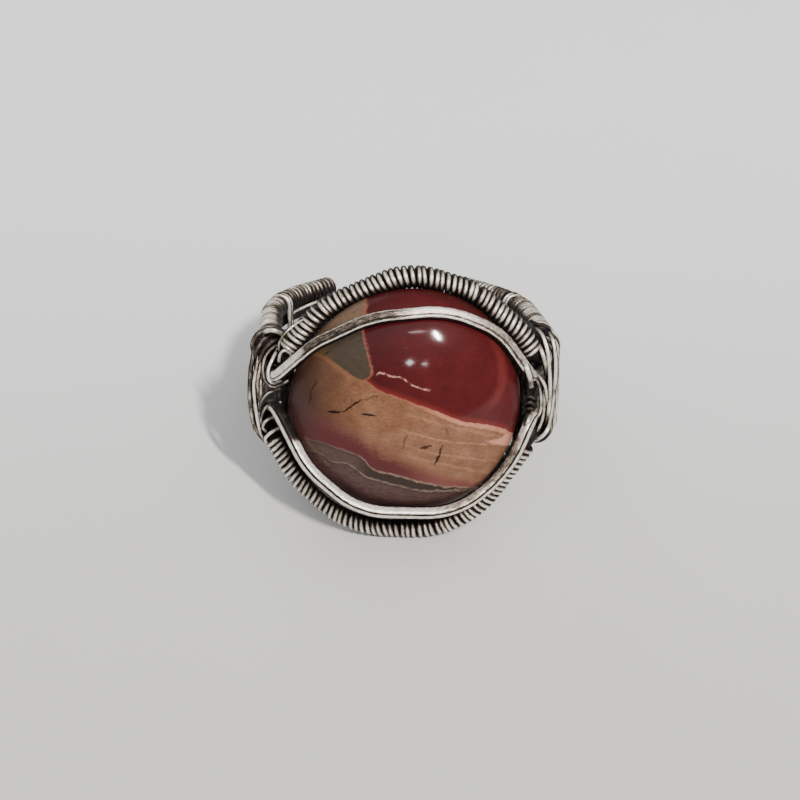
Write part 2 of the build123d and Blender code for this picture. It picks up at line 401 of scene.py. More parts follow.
def silver(name, traced=True):
    """Old silver: bright where its shine is high, from rubbing and painted highlights, near black in patina and
    painted shade.
    """
    m = Nodes(name)
    mm = m.vector("MULTIPLY", m.add("TexCoord").outputs["Object"], (1000,) * 3)
    blotch = m.noise(mm, 1.7, 4, 0.6)
    speck = m.noise(mm, 7.5, 3, 0.65)
    if traced:
        shine = m.add("Attribute", attribute_name="shine").outputs["Fac"]
        trace = m.add("Attribute", attribute_name="trace").outputs["Vector"]
        scratch = m.step(m.noise(m.vector("MULTIPLY", trace, SCRATCH_STRETCH), 1.6, 5, 0.75), 0.28, 0.72)
    else:
        shine = CORE_SHINE
        scratch = m.noise(mm, 3, 4, 0.7)
    wear_and_light = shine
    for mark, depth in ((blotch, 0.6), (scratch, 0.5), (speck, 0.4)):
        wear_and_light = m.plus(wear_and_light, m.times(m.minus(mark, 0.5), depth))
    m.feed(m.shader.inputs["Base Color"], m.ramp(wear_and_light, SILVER_TONES))
    m.shader.inputs["Metallic"].default_value = 0.6
    grain = m.times(m.minus(speck, 0.5), 0.16)
    m.feed(m.shader.inputs["Roughness"], m.plus(m.step(wear_and_light, 0.1, 0.9, 0.6, 0.32), grain))
    m.bump(0.55, 2.5e-5, m.plus(m.times(scratch, 0.6), m.times(speck, 0.4)))
    return m.material


SILVER = silver("worn_and_lit_silver")
DARK_SILVER = silver("core_silver", traced=False)

# The four wires: path and radius
upper_frame, upper_frame_bends = frame_route(UPPER_ARCH, UPPER_FRAME_TURNS, 1)
lower_frame, lower_frame_bends = frame_route(LOWER_ARCH, LOWER_FRAME_TURNS, -1)
wires = {
    "upper_frame": (rounded(upper_frame, upper_frame_bends), COIL_R),
    "lower_frame": (rounded(lower_frame, lower_frame_bends), COIL_R),
    "upper_prong": (rounded(*prong_route(UPPER_PRONG, UPPER_PRONG_TURNS, 1)), PRONG_R),
    "lower_prong": (rounded(*prong_route(LOWER_PRONG, LOWER_PRONG_TURNS, -1)), PRONG_R),
}

# Wear fades between these distances from a neighbour
TUCKED_IN, FREE = -0.05, 0.5
# Points looked at in one go, and the step along a neighbour's path
BATCH, SKIP = 4000, 4
# Depths between which the face passes into the band
BAND_FROM, BAND_TO = 3.5, 6.5


def openness(points, apart_from):
    """How free points are of the stone and the other wires: 0 where they touch, 1 in the open."""
    least = np.full(len(points), np.inf)
    for name, (path, radius) in wires.items():
        if name != apart_from:
            rough = path[::SKIP]
            for start in range(0, len(points), BATCH):
                some = points[start:start + BATCH]
                gap = np.sqrt(((some[:, None, :] - rough[None]) ** 2).sum(2).min(1)) - radius
                least[start:start + BATCH] = np.minimum(least[start:start + BATCH], gap)
    x, y, z = points[:, 0], points[:, 1], points[:, 2] + STONE_DROP
    a = x * cos(STONE_TURN) + z * sin(STONE_TURN)
    b = z * cos(STONE_TURN) - x * sin(STONE_TURN)
    deep = np.where(y < 0, y / DOME, y / (4 * BACK))
    grown = np.sqrt((2 * a / STONE_LONG) ** 2 + (2 * b / STONE_SHORT) ** 2 + deep ** 2)
    # six millimetres for each share that the stone would have to grow to reach the point
    least = np.minimum(least, (grown - 1) * 6)
    return rise(least, TUCKED_IN, FREE)


def wear_and_highlight(tube, flat=False):
    """Bright where it faces out of the ring, less where it meets the finger. A flat wire is bright in front.
    Along the band, brighter on its outer side, and a painted highlight on a strip of its front edge.
    """
    x, y, z = tube["points"].T
    facing = tube["facing"]
    if flat:
        front = 0.2 + 0.8 * rise(-facing[:, 1], -0.15, 0.35)
    else:
        out = np.sum(facing * unit(np.stack([0.3 * x, y - 7, 0.3 * z], axis=1)), axis=1)
        front = 0.04 + 0.96 * rise(out, 0.3, 0.93) + 0.45 * rise(-out, 0.3, 0.9)
    # painted highlight: a narrow bright strip on the band's front edge, away from its middle plane, where the
    # light falls
    top = unit(np.stack([0.15 * np.sign(x), np.full(len(x), -0.66), 0.72 * np.sign(z)], axis=1))
    away = unit(np.stack([x, y - 11, 0 * z], axis=1))
    toward_highlight, on_outside = np.sum(facing * top, axis=1), np.sum(facing * away, axis=1)
    band = 0.26 - 0.1 * rise(y, 13, 17) + 1.25 * rise(toward_highlight, 0.58, 0.93)
    band += (0.4 + 0.4 * rise(y, 9, 14)) * rise(on_outside, 0.3, 0.95)
    return front + (band - front) * rise(y, BAND_FROM, BAND_TO)


# Windings: fine wire round the cores, turn beside turn. Turns lean by the slants of a winding's two ends, and
# stray along the wire, sideways and outwards.
WINDING_R, PITCH, TURN_STEPS = 0.208, 0.437, 28
FRAME_SLANTS = {"upper": (0.05, 0.05), "lower": (0.19, 0.02)}
BAND_SLANTS = (0.02, 0.02)
SLANT_FROM, SLANT_TO = 0.42, 0.56
STRAY_ALONG, STRAY_ASIDE, STRAY_OUT = 0.035 * PITCH / 0.44, 0.02, 0.008
WINDING_SUNK = 0.012


def winding(path, seed, slants, other):
    chance = np.random.default_rng(seed)
    far = distances(path)
    room = far[-1] - 2 * WINDING_R
    normal, binormal = frames(path)[1:]
    turns = round(room / PITCH)
    around = np.arange(turns * TURN_STEPS + 1) / TURN_STEPS
    rough = chance.normal(0, 1, (3, turns + 2))
    wander = np.stack([np.interp(around, np.arange(turns + 2), r) for r in rough])
    angle = 2 * pi * around + chance.uniform(0, 6.28)
    lean = (slants[0] - slants[1]) * (1 - rise(around / turns, SLANT_FROM, SLANT_TO)) + slants[1]
    at = WINDING_R + around / turns * room + STRAY_ALONG * wander[0]
    at = at + lean * np.sin(angle - 0.6) + STRAY_ASIDE * wander[1] * np.sin(angle + wander[2])
    at = np.clip(at, WINDING_R, far[-1] - WINDING_R)
    radial = np.cos(angle)[:, None] * read_off(normal, far, at)
    radial = unit(radial + np.sin(angle)[:, None] * read_off(binormal, far, at))
    out = COIL_R - WINDING_R - WINDING_SUNK + STRAY_OUT * wander[1]
    centre = read_off(path, far, at) + radial * out[:, None]
    tube = sweep(centre, circle(WINDING_R) * (1, PITCH / 2 / WINDING_R), hint=radial)
    bright = rise(np.cos(tube["round"]), 0.45, 1) ** 1.3
    uneven = 0.14 + 0.34 * rise(centre[:, 1], BAND_FROM, BAND_TO)
    each = (1 - uneven * np.clip(0.5 - 0.7 * wander[2], 0, 1))[tube["row"]]
    return with_shine(tube, bright * each * wear_and_highlight(tube) * (0.12 + 0.88 * openness(tube["points"], other)), seed)


def between(a, b, distance):
    """The point at a distance from a on the way to b."""
    a, b = np.array(a, float), np.array(b, float)
    return a + unit(b - a) * distance


# How much nearer the shoulders a winding round the stone starts and ends than the part's sleeve
LONGER_START, LONGER_END = {"upper": 0, "lower": 0.85}, {"upper": 0.8, "lower": 0}
# The upper winding is drawn forward and down at its peak: how far, where across, and how wide
PEAK_SHIFT, PEAK_AT, PEAK_WIDTH = 0.1, 0.4, 2.6
# Half the gap that a band winding leaves for the tie
TIE_HALF = 0.4
band_lines = {}


def dress_frame_wire(name, points, bends, shoulders, seed):
    """The windings of one frame wire: round the stone, and along the band beside its ties."""
    left_pinch, right_pinch = len(LEFT_BAND), len(points) - 1 - len(RIGHT_BAND)
    first, last = left_pinch + 1, right_pinch - 1
    first_turn = shoulders[0][2] * SHOULDER_BEND - LONGER_START[name]
    last_turn = shoulders[1][2] * SHOULDER_BEND - LONGER_END[name]
    front = [between(points[first], points[first + 1], first_turn)] + points[first + 1:last]
    front = rounded(front + [between(points[last], points[last - 1], last_turn)], bends[first:last - 1])
    if name == "upper":
        front[:, 1:] -= PEAK_SHIFT * np.exp(-((front[:, :1] - PEAK_AT) / PEAK_WIDTH) ** 2)
    make(f"{name}_frame_winding", [winding(front, seed, FRAME_SLANTS[name], f"{name}_frame")], SILVER,
         [f"{name}_frame_coil"])
    left_end = between(points[left_pinch], points[left_pinch - 1], COIL_R / 2)
    right_end = between(points[right_pinch], points[right_pinch + 1], COIL_R / 2)
    band_lines["left", name] = rounded(points[:left_pinch] + [left_end], bends[:left_pinch - 1])
    band_lines["right", name] = rounded([right_end] + points[right_pinch + 1:], bends[right_pinch:])
    for side in ("left", "right"):
        line = band_lines[side, name]
        far = distances(line)
        tie_at = TIE_FROM_TIP if side == "left" else far[-1] - TIE_FROM_TIP
        parts = [line[far < tie_at - TIE_HALF], line[far > tie_at + TIE_HALF]]
        first_seed = seed + len(side)
        tubes = [winding(part, first_seed + k, BAND_SLANTS, f"{name}_frame") for k, part in enumerate(parts)]
        make(f"{side}_{name}_band_winding", tubes, SILVER, [f"{side}_{name}_band_coil"])


dress_frame_wire("upper", upper_frame, upper_frame_bends, UPPER_FRAME_TURNS, 3)
dress_frame_wire("lower", lower_frame, lower_frame_bends, LOWER_FRAME_TURNS, 8)
for name in ("upper_core", "lower_core"):
    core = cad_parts[name]
    core.data.materials.clear()
    core.data.materials.append(DARK_SILVER)


# Bare wires: flattened, with a fine groove along the face at a share of its half width
WIRE_HALF, CORNER_POWER, SECTION_SIDES = 0.425, 3.4, 52
GROOVE_AT = {"upper_prong": 0.5, "lower_prong": -0.5}
GROOVE_DEPTH, GROOVE_WIDTH, GROOVE_ANGLE = 0.06, 0.15, 6.5


def soft_square(groove_at):
    """A square with soft corners and a groove, from the side away from the normal."""
    a = pi + 2 * pi * np.arange(SECTION_SIDES) / SECTION_SIDES
    c, s = np.cos(a), np.sin(a)
    reach = WIRE_HALF / (np.abs(c) ** CORNER_POWER + np.abs(s) ** CORNER_POWER) ** (1 / CORNER_POWER)
    section = np.stack([reach * c, reach * s], axis=1)
    on_face = c > 0.5
    across = section[on_face, 1] / WIRE_HALF
    section[on_face, 0] -= GROOVE_DEPTH * np.exp(-((across - groove_at) / GROOVE_WIDTH) ** 2)
    return section


def face_wear_and_highlight(tube, name):
    """Wear by the degrees from the middle of a wire's face: bright edges, a dark groove, and painted highlights
    and shade along the wire.
    """
    x, _, z = tube["points"].T
    angle = np.degrees(tube["round"])
    groove = np.exp(-((angle - np.degrees(np.arctan(GROOVE_AT[name]))) / GROOVE_ANGLE) ** 2)
    if name == "upper_prong":
        edges = 0.95 * np.exp(-((np.abs(angle) - 47) / 10) ** 2)
        # painted highlight: the upper wire's face brighter from the middle rightwards, less so near its right
        # end, and bright at its left end
        middle = 0.36 + 0.46 * rise(x, -1.5, 1.5) - 0.2 * rise(x, 4, 7.5)
        middle += 0.5 * rise(-x, 7, 7.5)
        wear_and_light = np.maximum(edges, middle * (np.abs(angle) < 42))
    else:
        # painted highlight and shade along the lower wire: dimmer right of the middle, a bright glint at its
        # right bend, dark on its left where it rises towards the band
        length = 0.84 - 0.26 * rise(x, 1.5, 4) + 0.4 * rise(x, 8.3, 8.9)
        length *= 0.12 + 0.88 * np.maximum(rise(-z, 1.95, 2.35), rise(x, 0, 1))
        inner = length * rise(-angle, 30, 48) * rise(angle, -135, -105)
        face = 0.85 * rise(angle, -30, -18) * (1 - rise(angle, 12, 42))
        wear_and_light = np.maximum(inner, face)
    return wear_and_light * (1 - 0.9 * groove)


for name, seed in (("upper_prong", 20), ("lower_prong", 31)):
    path = wires[name][0]
    # the face looks out over the dome in front, and out of the ring along the band
    front_side = path * np.array([0.45, 0, 0.45]) + np.array([0, -5.2, 0])
    rear_side = path * np.array([1, 1, 0]) - np.array([0, 11, 0])
    behind = rise(path[:, 1], 0, BAND_FROM)[:, None]
    face_way = unit(front_side) * (1 - behind) + unit(rear_side) * behind
    tube = sweep(path, soft_square(GROOVE_AT[name]), face_way)
    shine = face_wear_and_highlight(tube, name) * wear_and_highlight(tube, flat=True) * (0.65 + 0.35 * openness(tube["points"], name))
    make(f"{name}_wire", [with_shine(tube, shine, seed)], SILVER, [name])


# Bindings: fine wire wound round all four wires at each shoulder and fanned out round the bend
def racetrack(share, half_length, radius):
    """Outward and upward place on a loop of two straights and two bends, from its inner middle."""
    straight, bend = 2 * half_length, pi * radius
    far = (share % 1) * 2 * (straight + bend)
    if far < half_length:
        return -radius, far
    far -= half_length
    if far < bend:
        return -radius * cos(far / radius), half_length + radius * sin(far / radius)
    far -= bend
    if far < straight:
        return radius, half_length - far
    far -= straight
    if far < bend:
        return radius * cos(far / radius), -half_length - radius * sin(far / radius)
    return -radius, -half_length + far - bend


STRAND_SIDES = 12
# Length of the brighter and duller stretches of a strand, and how bright they are
PATCH, PATCH_DULL, PATCH_BRIGHT = 0.8, 0.5, 1.15
# The side of a loose strand that gets a painted highlight
TOWARD_CAMERA = (0, -1, 0.25)


def patchy(tube, seed):
    """Brighter and duller stretches along a strand."""
    places = np.arange(0, tube["along"].max() + 2 * PATCH, PATCH)
    chance = np.random.default_rng(int(seed))
    return np.interp(tube["along"], places, chance.uniform(PATCH_DULL, PATCH_BRIGHT, len(places)))


def strand(path, radius, outward, seed):
    """A strand wound round other wires, bright on its outward side, with painted shade inside the ring."""
    tube = sweep(path, circle(radius, STRAND_SIDES), outward)
    x, y, _ = tube["points"].T
    # painted shade: darker within the shoulders, unless far back along the band
    outside = np.maximum(rise(np.abs(x), SHOULDER_X - 0.7, SHOULDER_X + 0.2), rise(y, 14, 16))
    bright = rise(np.cos(tube["round"]), 0.2, 0.95) * wear_and_highlight(tube) * patchy(tube, seed)
    return with_shine(tube, bright * (0.08 + 0.92 * outside), seed)


def bare(path, radius, seed, darkening, deepest):
    """A loose strand with a painted highlight on the camera's side and painted shade where it is tucked in."""
    tube = sweep(path, circle(radius, STRAND_SIDES), np.tile(TOWARD_CAMERA, (len(path), 1)))
    # painted shade: darker the deeper the strand lies, and a painted highlight on its side towards the camera
    lit = rise(deepest - tube["points"][:, 1], 0, 1.6)
    return with_shine(tube, rise(np.cos(tube["round"]), 0.4, 1) * (1 - darkening) * lit * patchy(tube, seed), seed)


def loose(strands, seed, deepest=2.6):
    tubes = []
    for k, (radius, darkening, *places) in enumerate(strands):
        tubes.append(bare(flowing([seen(*place) for place in places]), radius, seed + k, darkening, deepest))
    return tubes


# Loose strands in front of each binding: thickness, how much darker it is drawn, then places as pixels and
# depth
LEFT_STRANDS = [
    (0.18, 0.35, (263, 335, 3.2), (255.5, 343, 2), (252.3, 361, 1.1), (250.6, 370.5, 0.9), (249.8, 393, 0.8),
     (250.8, 406, 0.9), (253.6, 422, 1.2), (259.5, 434, 1.8), (264.5, 440, 2.8)),
    (0.15, 0, (259.5, 351, 1.4), (256, 370, 0.6), (254, 383, 0.45), (254, 392, 0.4), (255.6, 406, 0.4),
     (258, 422, 0.5), (261.5, 435, 0.9), (267, 440, 1.6), (272, 441, 2.6)),
    (0.15, 0.3, (262, 359, 1.2), (259.6, 370, 0.5), (257.7, 380, 0.4), (257.7, 387, 0.5), (259, 397, 1.2)),
    (0.14, 0.3, (262.5, 374, 1), (261, 382, 0.6), (261, 392, 0.6), (259.6, 401, 1.2)),
    (0.2, 0.35, (290, 336, 3.2), (281, 331, 2), (269, 329.5, 1.5), (259.5, 333, 1.3), (254.5, 339, 1.4),
     (252.6, 346, 1.9), (254.5, 356, 2.8)),
    (0.25, 0, (286, 336, 2), (281, 333, 0.6), (275, 330.5, 0.1), (269.5, 330, 0.4), (264, 332, 1.6)),
    (0.2, 0.6, (289, 339, 3), (280, 335, 1.8), (269, 336, 1.3), (261.5, 342, 1.1), (257, 351, 1),
     (254.5, 363, 1.5)),
    (0.2, 0.7, (289, 343, 2.8), (280, 339.5, 1.6), (272.5, 341.5, 1.2), (266.5, 347, 1), (262, 354, 0.9),
     (260, 362, 1), (258, 372, 1.5)),
    (0.14, 0.35, (288, 349, 2.6), (279, 345, 1.5), (272.5, 348, 1), (267, 354, 0.6), (264, 361, 0.4),
     (263, 371, 0.2), (266, 382, 0.1), (272.5, 387, 0), (280, 385, 0.3), (287, 381, 1.4)),
    (0.17, 0, (278, 349, 1.6), (273, 358, 0.3), (268.6, 369, -0.1), (268.8, 378, -0.2), (273, 382.5, 0),
     (280, 381, 0.9)),
    (0.16, 0, (290, 353, 0.3), (284.5, 350.5, -0.1), (281, 353, -0.1), (279.5, 357.5, 0), (279, 361, 0.2)),
    (0.1, 0.2, (279, 350, 0.4), (279.3, 343, 0), (283, 336, -0.2), (288.5, 330, -0.2), (298, 322.5, 0.2),
     (306, 318, 0.9), (309, 317, 1.6)),
    (0.15, 0.4, (280, 388, 1.6), (272, 391, 0.9), (265, 396, 0.8), (261.5, 402, 0.9), (260.3, 411, 1.5)),
    (0.14, 0.1, (280, 402, 1.3), (272, 402.5, 0.5), (266, 407, 0.4), (262, 415, 0.6), (260.5, 423, 1.3)),
    (0.16, 0, (276, 416, 0.8), (269.5, 418.5, 0.3), (264.5, 422.5, 0.2), (263.2, 427, 0.4), (266, 431, 1.2)),
    (0.17, 0, (282, 426.5, 0.8), (274, 430.5, 0.2), (268.5, 434.5, 0.25), (265.5, 438.5, 0.7),
     (267, 442, 1.4)),
]
RIGHT_STRANDS = [
    (0.19, 0.1, (540, 329, 3.6), (547, 331, 2.4), (551.5, 337, 1.6), (554, 346, 1.2), (555.5, 359, 1),
     (555.4, 375, 0.9), (554, 391, 0.9), (552, 408, 1), (549.8, 421, 1.1), (546.5, 431, 1.5),
     (540, 437.5, 2.2), (533, 440, 3.2)),
    (0.2, 0, (531, 326, 3.4), (536, 328.5, 2.2), (541.5, 334, 1.5), (545, 342, 1.1), (548, 354, 0.8),
     (549.4, 370, 0.7), (550, 385, 0.7), (549.8, 398, 0.7), (548.2, 412, 0.9), (546, 424, 1.8)),
    (0.22, 0, (532, 338, 2.6), (537.5, 344, 1.4), (541, 350, 0.9), (543.5, 357, 0.7), (545.6, 365, 0.8),
     (547, 375, 1.6)),
    (0.15, 0, (531, 321, 3), (537, 324.5, 2.2), (543, 325, 2), (548, 328, 2.2), (551, 334, 2.6)),
    (0.16, 0.1, (526, 362, 2.2), (530, 367, 1), (535.6, 372.5, 0.3), (541.6, 379.5, 0.2), (545.2, 387, 0.3),
     (546.6, 397, 0.5), (546.6, 408, 1.2)),
    (0.15, 0.15, (532, 373, 1.6), (536, 378, 0.7), (539.6, 387, 0.5), (541, 396, 0.5), (541, 407, 0.5),
     (539, 414, 0.7), (534, 421, 1.2), (530, 425, 2.2)),
    (0.15, 0.1, (543, 378, 1.4), (544, 386, 0.7), (544.2, 398, 0.6), (544, 408, 0.6), (542, 420, 0.7),
     (537.5, 430, 1), (531, 439, 2.2)),
    (0.2, 0, (550, 420, 2.2), (548.2, 427, 1.3), (545, 433, 1), (539, 438, 1.2), (533, 440, 2.2)),
    (0.17, 0.66, (524, 402, 1.6), (527, 397.5, 0.5), (531, 396.5, 0.3), (535, 400, 1.2)),
    (0.17, 0.66, (524, 408, 1.6), (527, 403.5, 0.5), (531, 402.5, 0.3), (535, 406, 1.2)),
    (0.17, 0.66, (524, 414, 1.6), (527, 409.5, 0.5), (531, 408.5, 0.3), (535, 412, 1.2)),
    (0.26, 0, (532, 411, 1), (529.5, 417, -0.3), (527, 424, -0.7), (525, 430, -0.6), (523, 435, 0.4)),
    (0.27, 0, (523, 358, 0.6), (526, 366, -1.2), (528.5, 373, -1.4), (530, 379, -1.2), (530.5, 385, 0.2)),
]
# The left tie's loose end, between the coils of the tail
TIE_STRANDS = [
    (0.16, 0.1, (288.5, 300.5, 16.9), (289.5, 304, 16.5), (290, 312, 16.4), (290.5, 320, 16.4),
     (291, 327, 16.6)),
    (0.16, 0.1, (291, 321, 17), (293.5, 313, 17.4), (304, 307, 18.2), (318, 301.5, 19),
     (323, 303.5, 19.4)),
]
# Wraps pressed into the corner behind the stone's edge: across, depth, upper and lower end
TUCKED = [(9.35, 1.7, 3.2, -3.4), (9.05, 2.05, 3, -3.8), (8.75, 2.35, 2.6, -4.4), (8.45, 2.7, 2.4, -5)]
# Thickness of a tucked wrap, how much darker it is drawn, and the depth at which its painted shade is fullest
TUCKED_R, TUCKED_DARKENING, TUCKED_DEEPEST = 0.19, 0.76, 4

# The wound strand of a binding
WRAP_WIRE_R, WRAP_TURNS, WRAP_PITCH, WRAP_STEPS = 0.2, 7.5, 0.45, 110
WRAP_START, WRAP_PHASE, WRAP_SUNK, WRAP_BEND = BINDING_LENGTH - 0.25, 0.02, 0.03, 3
# Half the height over which a wrap is flat, and how far in its middle lies
FLAT_HALF, MIDDLE_IN = 2.8, 0.1


def binding(side, station, strands, seed):
    """The wound strand of a binding, its loose strands and the tucked ones."""
    pinch = np.array([side * SHOULDER_X, PINCH_Y, 0])
    back = unit(np.array([station[0] * BAND_X, station[1] * REAR_Y, 0]) - pinch)
    outward = np.array([side * back[1], -side * back[0], 0])
    pivot = pinch - outward * (WRAP_R + 2 * STRAND_R)

    def placed(along, out, up):
        """A place on the binding, along down the band, or forward round the bend if under 0."""
        if along >= 0:
            return pinch + back * along + outward * out + np.array([0, 0, up])
        arm, turn = WRAP_R + 2 * STRAND_R + out, -along / WRAP_BEND
        return pivot + (outward * cos(turn) - back * sin(turn)) * arm + np.array([0, 0, up])

    knots = np.arange(10)
    sag, sway, swell = np.random.default_rng(seed).normal(0, 1, (3, len(knots)))
    path = []
    for t in np.arange(0, WRAP_TURNS, 1 / WRAP_STEPS):
        drift = 0.05 * np.interp(t, knots, sag) + 0.09 * np.interp(t, knots, sway) * sin(2 * pi * t + 1)
        lift = 0.03 * np.interp(t * 2.3 % knots[-1], knots, swell)
        out, up = racetrack(t + WRAP_PHASE, height(1, 1), WRAP_R - WRAP_SUNK + lift)
        path.append(placed(WRAP_START - WRAP_PITCH * t + drift, out, up))
    path = spaced(path, 0.09)
    middle_x = pinch[0] - outward[0] * MIDDLE_IN
    z = path[:, 2]
    facing = np.stack([path[:, 0] - middle_x, 0 * z, z - np.clip(z, -FLAT_HALF, FLAT_HALF)], axis=1)
    tubes = [strand(path, WRAP_WIRE_R, facing, 40 + side)] + loose(strands, 60 + side)
    for k, (across, deep, top, foot) in enumerate(TUCKED):
        line = [(side * (across + 1.2), deep + 1.2, top + 0.7), (side * across, deep, top - 0.6),
                (side * across, deep, 0), (side * across, deep, foot + 0.6),
                (side * (across - 0.25), deep - 0.7, foot)]
        tubes.append(bare(flowing(line), TUCKED_R, 90 + k, TUCKED_DARKENING, TUCKED_DEEPEST))
    return tubes


left_tubes = binding(-1, LEFT_BAND[-1], LEFT_STRANDS, 5)
right_tubes = binding(1, RIGHT_BAND[-1], RIGHT_STRANDS, 9)
make("left_binding_wire", left_tubes, SILVER, ["left_binding"])
make("right_binding_wire", right_tubes, SILVER, ["right_binding"])

# Ties: two turns of fine wire round the band near each tail, let in between the turns of the windings
TIE_WIRE_R, TIE_OFFSET, TIE_SUNK, TIE_STEPS = 0.19, 0.2, 0.17, 90
TIE_LIGHT = (0, -0.95, 0.3)


def tie(side):
    line = band_lines[side, "upper"]
    far = distances(line)
    tie_at = TIE_FROM_TIP if side == "left" else far[-1] - TIE_FROM_TIP
    at, near = read_off(line, far, tie_at), read_off(line, far, tie_at + 0.1)
    level = np.array([1, 1, 0])
    along = unit((near - at) * level)
    across = np.array([along[1], -along[0], 0])
    loop = [racetrack(share, at[2], COIL_R - TIE_SUNK) for share in np.linspace(0, 1, TIE_STEPS)]
    tubes = []
    for offset in (-TIE_OFFSET, TIE_OFFSET):
        centre = at * level + along * offset
        path = np.array([centre + across * out + np.array([0, 0, up]) for out, up in loop])
        tube = strand(path, TIE_WIRE_R, (path - at) * level, 50 + offset)
        # painted highlight on the side facing TIE_LIGHT, towards the camera and up
        lit = rise(tube["facing"] @ np.array(TIE_LIGHT), 0.35, 0.95) * patchy(tube, 55 + 5 * offset)
        tubes.append(dict(tube, shine=np.maximum(0.7 * tube["shine"], lit)))
    return tubes


left_tubes = tie("left") + loose(TIE_STRANDS, 120, deepest=30)
make("left_tie_wire", left_tubes, SILVER, ["left_tie"])
make("right_tie_wire", tie("right"), SILVER, ["right_tie"])

# Stone: its lines in the photograph's pixels, down by across (the red side: across by down). They are carried
# into the stone along the line of sight, so that each band runs right through it.
PIXEL_LOW, PIXEL_HIGH = 250, 550
RED_EDGE = [(250, 372), (364, 380), (380, 391), (400, 398), (436, 411), (458, 420), (500, 428), (515, 434),
            (550, 446)]
MAROON_TOP = [(250, 385), (308, 396), (340, 414), (370, 434), (400, 452), (430, 466), (460, 477),
              (550, 496)]
GREY_TOP = [(250, 431), (292, 437), (312, 440), (325, 444), (337, 448), (353, 454), (363, 459), (370, 467),
            (378, 471.5), (387, 474), (402, 477), (415, 481), (430, 484), (437, 486), (467, 487.5),
            (550, 489)]
GREY_LOW = [(250, 446), (306, 451), (315, 452), (323, 455), (330, 461), (348, 464), (357, 470), (365, 476),
            (373, 479), (383, 481.5), (393, 484.5), (408, 488), (420, 490), (440, 491), (467, 490),
            (550, 490)]
RED_SIDE = [(250, 357), (300, 366), (330, 363), (345, 366), (359, 369.5), (374, 371), (382, 364),
            (550, 350)]
CORNER_LOW = [(250, 340), (320, 352), (332, 361), (346, 371), (361, 380), (372, 379), (550, 379)]
VEIN = [(250, 372), (375, 375), (382, 373), (388, 375), (396, 377), (402, 378), (410, 384), (420, 388),
        (432, 391), (550, 394)]
WEDGE_TOP = [(250, 452), (478, 441), (500, 437), (514, 430), (550, 425)]
WEDGE_LOW = [(250, 430), (478, 440), (500, 446), (514, 446), (550, 446)]
# Faint pale streaks in the tan: line, width and strength
PALE_STREAKS = [
    ([(250, 405), (360, 424), (395, 430), (408, 432), (432, 439), (445, 441), (456, 443), (490, 444),
      (550, 446)], 1.6, 0.36),
    ([(250, 420), (380, 436), (420, 450), (450, 456), (490, 461), (550, 463)], 2, 0.2),
    ([(250, 397), (330, 399), (400, 412), (440, 424), (480, 433), (550, 440)], 2.6, 0.22),
    ([(250, 440), (380, 452), (430, 461), (470, 470), (550, 476)], 2.4, 0.2),
]
# Cracks: the place across and down of one end and of the other, width and depth
CRACKS = [
    (309, 405, 311, 391, 0.8, 0.6), (311, 391, 316, 379, 0.7, 0.6), (328, 412, 341, 411.5, 1.3, 1),
    (341, 411.5, 361, 400, 1, 0.95), (361, 400, 377, 396, 0.7, 0.5), (361, 414, 376, 416, 1.2, 0.95),
    (408, 434, 402, 449, 0.8, 0.55), (420, 449, 432, 446, 0.9, 0.8), (443, 445, 438, 457, 1.1, 0.8),
    (440, 452, 434, 465, 0.9, 0.9), (330, 352, 322, 354, 0.9, 0.7), (352, 396, 351, 409, 0.6, 0.35),
    (446, 428, 449, 436, 0.7, 0.4),
]
# The stone's middle and half sizes there, the arc in its red field, and how far its colours are dimmed
STONE_MIDDLE, STONE_REACH = (402, 401), (119, 112)
ARC_MIDDLE, ARC_RADIUS, DIMMED = (455, 372), 48, 0.79
TAN_TONES = [(0.32, ink(108, 66, 46)), (0.5, ink(134, 93, 69)), (0.68, ink(162, 120, 93))]


def stone_places(m):
    """Where the photograph shows a point of the stone, plain and warped, and shared noises."""
    mm = m.vector("MULTIPLY", m.add("TexCoord").outputs["Object"], (1000,) * 3)
    local = m.vector("SUBTRACT", mm, tuple(SHIFT))
    near = m.minus(VIEW_DISTANCE, m.vector("DOT_PRODUCT", local, (0, -cos(SIGHT), sin(SIGHT))))
    right = m.vector("DOT_PRODUCT", local, (1, 0, 0))
    up = m.vector("DOT_PRODUCT", local, (0, sin(SIGHT), cos(SIGHT)))
    px = m.plus(m.over(m.times(right, FOCAL), near), AIM[0])
    py = m.minus(AIM[1], m.over(m.times(up, FOCAL), near))
    wide = m.minus(m.noise(mm, 0.55, 4, 0.6), 0.5)
    close = m.minus(m.noise(m.vector("ADD", mm, (7.3, 2.1, 9.4)), 1.4, 4, 0.65), 0.5)
    return SimpleNamespace(
        mm=mm,
        px=px, py=py,
        x=m.plus(px, m.plus(m.times(close, 7), m.times(wide, 4))),
        y=m.plus(py, m.plus(m.times(wide, 5), m.times(close, 6))),
        fine=m.noise(mm, 9, 5, 0.7),
        soft=m.noise(mm, 0.9, 3, 0.5),
        mottle=m.noise(m.vector("MULTIPLY", mm, (1, 1, 2.6)), 2.6, 5, 0.68),
        pale=m.step(m.noise(mm, 1.5, 3, 0.6), 0.34, 0.54, 0.25, 1),
    )


def line_at(m, at, points):
    return m.curve(at.x, points, PIXEL_LOW, PIXEL_HIGH)


def tan_field(m, at):
    tone = m.plus(m.times(at.fine, 0.3), m.plus(m.times(at.soft, 0.35), m.times(at.mottle, 0.35)))
    # painted shade: the tan darker towards the stone's left side
    colour = m.mix(m.step(at.px, 288, 378), ink(62, 43, 34), m.ramp(tone, TAN_TONES))
    there = m.times(m.step(at.x, 392, 425), at.pale)
    for points, width, strength in PALE_STREAKS:
        streak = m.step(m.off(at.y, line_at(m, at, points)), 0, width, strength, 0)
        colour = m.mix(m.times(streak, there), colour, ink(214, 160, 126))
    wedge = m.times(m.step(m.minus(at.y, line_at(m, at, WEDGE_TOP)), 0, 2),
                    m.step(m.minus(line_at(m, at, WEDGE_LOW), at.y), 0, 2))
    return m.mix(m.times(wedge, 0.85), colour, ink(220, 152, 126))


